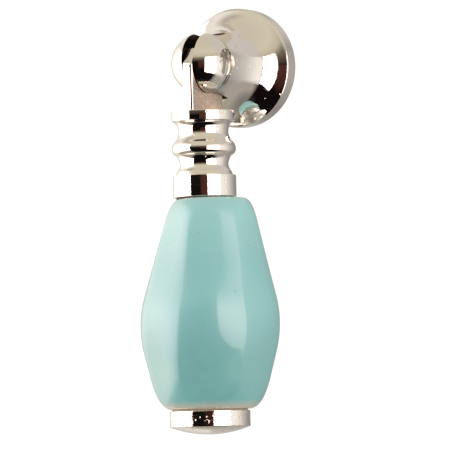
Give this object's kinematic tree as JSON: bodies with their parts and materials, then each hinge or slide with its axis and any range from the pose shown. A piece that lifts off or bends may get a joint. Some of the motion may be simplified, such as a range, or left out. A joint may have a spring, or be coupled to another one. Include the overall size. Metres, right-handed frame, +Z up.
{
  "type": "drop pull",
  "caption": "Cabinet drop pull: plated trumpet rosette with a slotted ball, hinge pin, and a swinging pendant of turned neck, faceted glazed ceramic body and round end cap.",
  "frame": {"origin": "centre of the rosette's flat back face, on the axis of its fixing hole, where the door's face is", "axes": "+Y into the door, away from the pull's front; +Z up; +X to the right seen from the front, along the hinge pin"},
  "size_m": [0.0252, 0.0285, 0.0787],
  "materials": {
    "nickel_plating": "polished",
    "aqua_glaze": "gloss",
    "zinc_steel": "satin",
    "cushion_rubber": "matte"
  },
  "bodies": {
    "base": {"rosette_post": "nickel_plating", "hinge_pin": "nickel_plating"},
    "pendant": {"hanger_neck": "nickel_plating", "tie_rod": "zinc_steel", "upper_washer": "cushion_rubber", "ceramic_body": "aqua_glaze", "lower_washer": "cushion_rubber", "end_cap": "nickel_plating"}
  },
  "joints": [
    {"name": "pendant_swing", "type": "hinge", "parent": "base", "child": "pendant", "pos_m": [0, -0.0158, 0], "axis": [-1, 0, 0], "range_deg": [-3.5, 183.5]}
  ]
}
